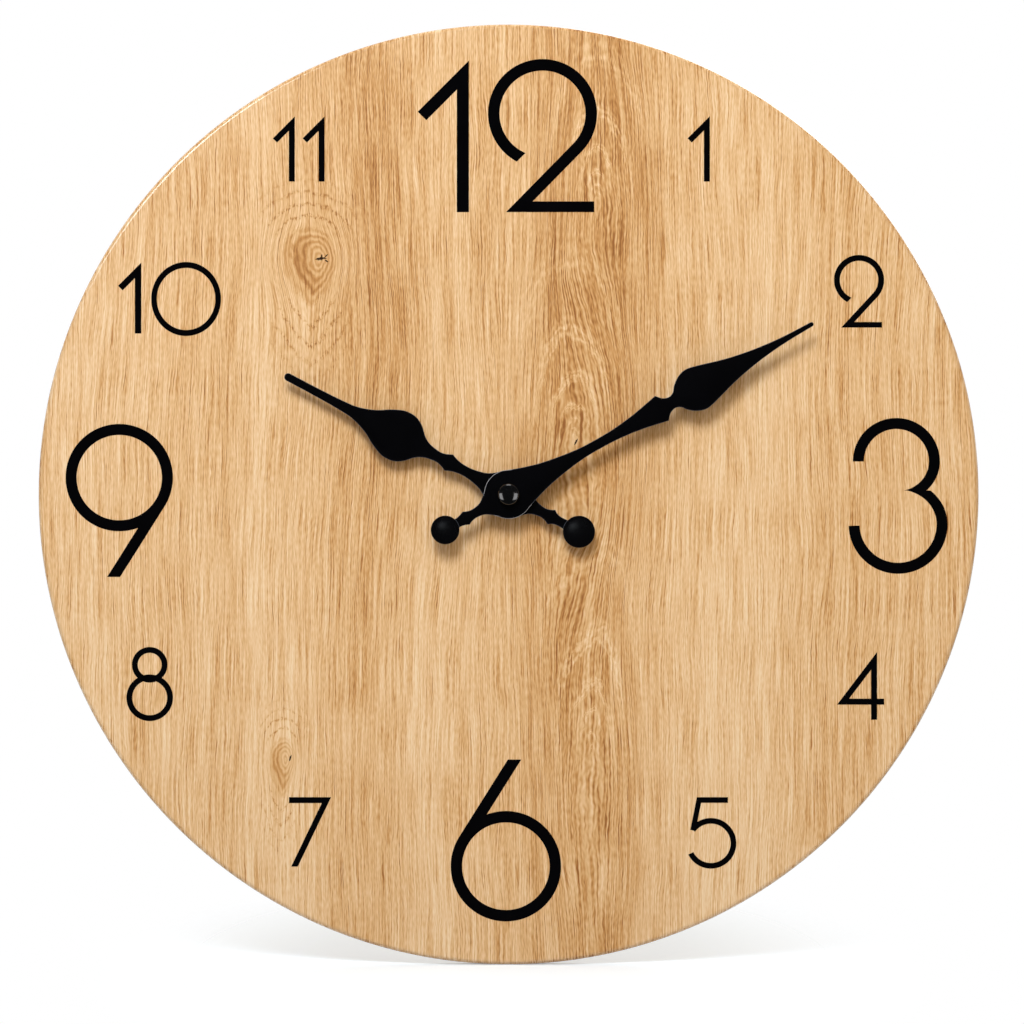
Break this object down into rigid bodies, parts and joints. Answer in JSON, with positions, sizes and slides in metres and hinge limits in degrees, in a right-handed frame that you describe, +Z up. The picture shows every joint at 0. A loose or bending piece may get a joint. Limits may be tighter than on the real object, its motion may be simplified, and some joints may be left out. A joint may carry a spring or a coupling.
{
  "type": "wall clock",
  "caption": "Round oak-grained wall clock with open black spade hands and a battery quartz movement hung on a nail slot.",
  "frame": {"origin": "on the hands' axis, on the flat rear face of the movement's cover, which is the wall plane", "axes": "+Z up to 12 o'clock, +Y back into the wall, so that the dial faces -Y, and +X to 3 o'clock"},
  "size_m": [0.3, 0.0336, 0.3],
  "materials": {
    "dial_board": "matte oak-grained print on fibreboard",
    "hour_hand": "satin black",
    "hour_hand_collet": "plain",
    "minute_hand": "satin black",
    "cap_nut": "gloss black",
    "threaded_bushing": "plain",
    "rubber_washer": "matte",
    "flat_washer": "satin",
    "hex_nut": "plain",
    "movement_case": "fine matte texture",
    "rear_cover": "fine matte texture",
    "middle_plate": "moulded",
    "minute_arbor": "turned",
    "clutch_spring": "satin",
    "centre_drive_wheel": "moulded",
    "third_wheel": "moulded",
    "seconds_wheel": "moulded",
    "intermediate_wheel": "moulded",
    "rotor_pinion": "moulded",
    "rotor_magnet": "dull dark grey",
    "hour_wheel": "moulded",
    "motion_wheel": "moulded",
    "setting_knob": "ridged edge",
    "stator_left": "punched sheet",
    "stator_right": "punched sheet",
    "coil_core": "punched sheet",
    "coil_bobbin": "moulded",
    "coil_winding": "enamelled copper wire",
    "circuit_board": "green laminate",
    "chip_seal": "black resin drop",
    "quartz_crystal": "satin can",
    "battery_cell": "plain grey sleeve",
    "contact_positive": "plated strip",
    "contact_negative": "plated strip and spiral"
  },
  "bodies": {
    "clock": {"dial_board": "dial_board", "threaded_bushing": "threaded_bushing", "rubber_washer": "rubber_washer", "flat_washer": "flat_washer", "hex_nut": "hex_nut", "movement_case": "movement_case", "rear_cover": "rear_cover", "middle_plate": "middle_plate", "stator_left": "stator_left", "stator_right": "stator_right", "coil_core": "coil_core", "coil_bobbin": "coil_bobbin", "coil_winding": "coil_winding", "circuit_board": "circuit_board", "chip_seal": "chip_seal", "quartz_crystal": "quartz_crystal", "contact_positive": "contact_positive", "contact_negative": "contact_negative"},
    "minute": {"minute_arbor": "minute_arbor", "clutch_spring": "clutch_spring", "minute_hand": "minute_hand", "cap_nut": "cap_nut"},
    "hour": {"hour_wheel": "hour_wheel", "hour_hand": "hour_hand", "hour_hand_collet": "hour_hand_collet"},
    "setting": {"setting_knob": "setting_knob", "motion_wheel": "motion_wheel"},
    "seconds": {"seconds_wheel": "seconds_wheel"},
    "centre_drive": {"centre_drive_wheel": "centre_drive_wheel"},
    "third": {"third_wheel": "third_wheel"},
    "intermediate": {"intermediate_wheel": "intermediate_wheel"},
    "rotor": {"rotor_pinion": "rotor_pinion", "rotor_magnet": "rotor_magnet"},
    "battery": {"battery_cell": "battery_cell"}
  },
  "joints": [
    {"name": "minute_hand_turn", "type": "hinge", "parent": "clock", "child": "minute", "pos_m": [0, -0.02965, 0], "axis": [0, 1, 0], "continuous": true},
    {"name": "hour_hand_turn", "type": "hinge", "parent": "clock", "child": "hour", "pos_m": [0, -0.02735, 0], "axis": [0, 1, 0], "continuous": true},
    {"name": "setting_knob_turn", "type": "hinge", "parent": "clock", "child": "setting", "pos_m": [0, -0.0016, 0.0102], "axis": [0, 1, 0], "continuous": true},
    {"name": "seconds_wheel_turn", "type": "hinge", "parent": "clock", "child": "seconds", "pos_m": [0, -0.0068, 0], "axis": [0, 1, 0], "continuous": true},
    {"name": "centre_drive_turn", "type": "hinge", "parent": "clock", "child": "centre_drive", "pos_m": [0, -0.0096, 0], "axis": [0, 1, 0], "continuous": true},
    {"name": "third_wheel_turn", "type": "hinge", "parent": "clock", "child": "third", "pos_m": [0.00848, -0.0082, 0.00396], "axis": [0, 1, 0], "continuous": true},
    {"name": "intermediate_wheel_turn", "type": "hinge", "parent": "clock", "child": "intermediate", "pos_m": [-0.00831, -0.0054, 0.0048], "axis": [0, 1, 0], "continuous": true},
    {"name": "rotor_turn", "type": "hinge", "parent": "clock", "child": "rotor", "pos_m": [-0.00969, -0.0079, 0.0126], "axis": [0, 1, 0], "continuous": true},
    {"name": "battery_lift", "type": "slide", "parent": "clock", "child": "battery", "axis": [0, 1, 0], "range_m": [0, 0.018]}
  ],
  "couplings": [
    {"joint": "hour_hand_turn", "follows": "minute_hand_turn", "ratio": 0.083333},
    {"joint": "setting_knob_turn", "follows": "minute_hand_turn", "ratio": -0.33333},
    {"joint": "centre_drive_turn", "follows": "seconds_wheel_turn", "ratio": 0.016667},
    {"joint": "third_wheel_turn", "follows": "seconds_wheel_turn", "ratio": -0.13333},
    {"joint": "intermediate_wheel_turn", "follows": "seconds_wheel_turn", "ratio": -6},
    {"joint": "rotor_turn", "follows": "seconds_wheel_turn", "ratio": 30}
  ]
}
